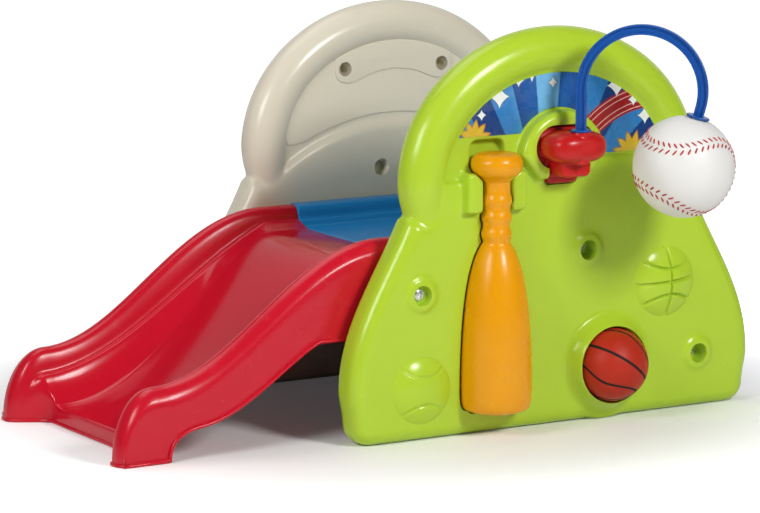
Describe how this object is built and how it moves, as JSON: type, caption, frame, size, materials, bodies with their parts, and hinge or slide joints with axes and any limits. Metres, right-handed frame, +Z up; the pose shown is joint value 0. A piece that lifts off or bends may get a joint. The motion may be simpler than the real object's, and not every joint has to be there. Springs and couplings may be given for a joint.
{
  "type": "toddler slide playset",
  "caption": "Indoor toddler slide playset: arched side panels carry a wavy slide, a deck with steps, a toy bat, a foam basketball and a swing ball on an arched rod.",
  "frame": {"origin": "bottom centre of the whole playset's bounding box, on the floor", "axes": "+X from the slide's foot towards the steps, +Y from the panel with the toys towards the plain panel, +Z up"},
  "size_m": [1.19, 0.859, 0.683],
  "materials": {
    "green_plastic": "glossy rotomoulded polyethylene",
    "tan_plastic": "glossy rotomoulded polyethylene",
    "red_plastic": "glossy rotomoulded polyethylene",
    "blue_plastic": "satin rotomoulded polyethylene",
    "printed_sheet": "printed vinyl",
    "mount_red": "satin blow moulding",
    "rod_blue": "satin injection moulding",
    "ball_white": "fine grain, blow moulded",
    "yellow_plastic": "glossy blow moulding",
    "foam_orange": "matte pebbled foam skin",
    "zinc_steel": "zinc plated"
  },
  "bodies": {
    "playset": {"green_side_panel": "green_plastic", "tan_side_panel": "tan_plastic", "slide_chute": "red_plastic", "deck_and_steps": "blue_plastic", "arch_sheet": "printed_sheet", "rod_mount": "mount_red", "mount_screw_left": "zinc_steel", "mount_screw_right": "zinc_steel", "green_slide_screw": "zinc_steel", "green_deck_screw": "zinc_steel", "green_step_screw": "zinc_steel", "tan_slide_screw": "zinc_steel", "tan_deck_screw": "zinc_steel", "tan_step_screw": "zinc_steel", "slide_hook_screw_green_side": "zinc_steel", "slide_hook_screw_tan_side": "zinc_steel"},
    "swing_arm": {"arch_rod": "rod_blue", "swing_ball": "ball_white", "pivot_washer": "zinc_steel", "pivot_screw": "zinc_steel"},
    "bat": {"toy_bat": "yellow_plastic"},
    "basketball": {"foam_basketball": "foam_orange"}
  },
  "joints": [
    {"name": "rod_swing", "type": "hinge", "parent": "playset", "child": "swing_arm", "pos_m": [0.195, -0.23224, 0.45], "axis": [0, 0, -1], "range_deg": [-29.6, 66.4]},
    {"name": "bat_pull", "type": "slide", "parent": "playset", "child": "bat", "axis": [0, -1, 0], "range_m": [0, 0.1]},
    {"name": "basketball_pull", "type": "slide", "parent": "playset", "child": "basketball", "axis": [0, -1, 0], "range_m": [0, 0.11]}
  ]
}
